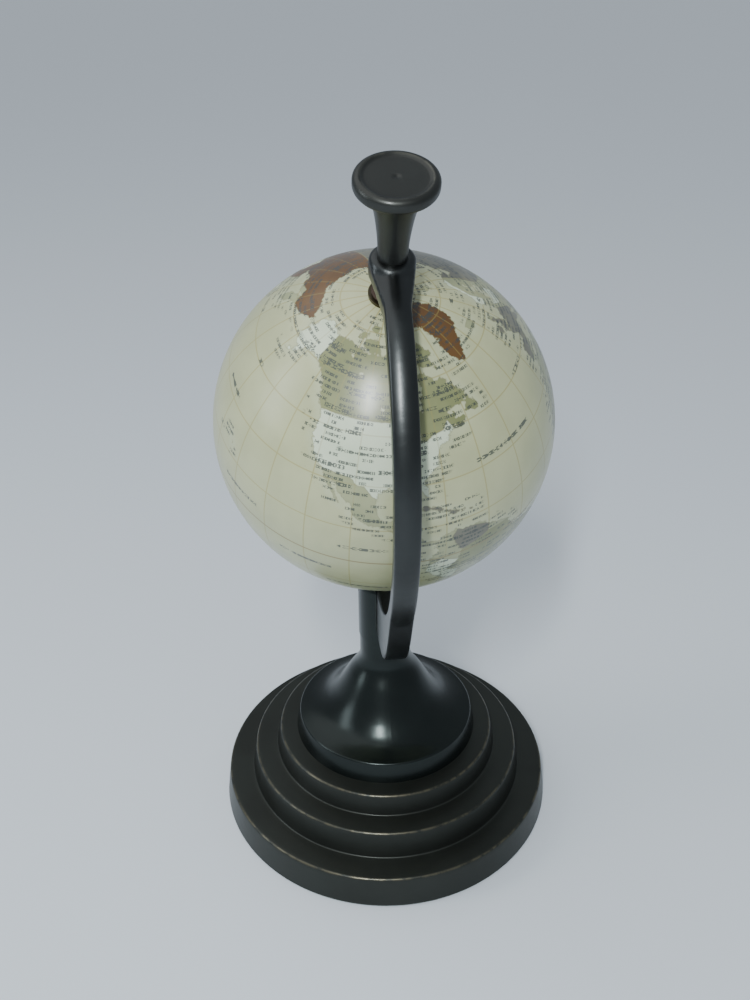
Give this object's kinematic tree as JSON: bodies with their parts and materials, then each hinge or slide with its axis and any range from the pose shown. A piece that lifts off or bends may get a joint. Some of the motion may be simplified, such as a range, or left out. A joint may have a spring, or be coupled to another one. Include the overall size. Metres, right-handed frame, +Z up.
{
  "type": "desktop globe",
  "caption": "Small desk globe that spins on a tilted axis in a half-circle meridian arc, held by a forked trumpet stem on a round stepped base, with a disc knob at the top.",
  "frame": {"origin": "middle of the underside of the base pad, on the surface the globe stands on", "axes": "+Z up, +X towards the side the north pole leans to, the meridian arc lies in the XZ plane"},
  "size_m": [0.1432, 0.1376, 0.2723],
  "materials": {
    "patinated_brass": "dark bronze patina, satin, worn to brass on the edges",
    "plain_brass": "turned brass",
    "steel_fastener": "plain steel",
    "fibre_washer": "red-brown fibre",
    "ball_plastic": "plain moulded plastic",
    "map_paper": "printed paper under clear varnish",
    "felt_pad": "dark felt"
  },
  "bodies": {
    "stand": {"base_pad": "felt_pad", "stepped_base": "patinated_brass", "trumpet_stem": "patinated_brass", "tie_stud": "steel_fastener", "tie_washer": "steel_fastener", "tie_nut": "steel_fastener", "meridian_arc": "patinated_brass", "fork_pin": "patinated_brass", "north_pivot_pin": "steel_fastener", "south_pivot_pin": "steel_fastener", "north_spacer": "patinated_brass", "south_spacer": "patinated_brass", "north_washer": "fibre_washer", "south_washer": "fibre_washer", "finial_stem": "patinated_brass", "finial_disc": "patinated_brass", "south_cap_nut": "patinated_brass"},
    "globe": {"north_bush": "plain_brass", "south_bush": "plain_brass", "north_shell": "ball_plastic", "south_shell": "ball_plastic", "equator_band": "ball_plastic", "north_map": "map_paper", "south_map": "map_paper"}
  },
  "joints": [
    {"name": "globe_spin", "type": "hinge", "parent": "stand", "child": "globe", "pos_m": [0, 0, 0.1735], "axis": [0.3987, 0, 0.9171], "continuous": true}
  ]
}
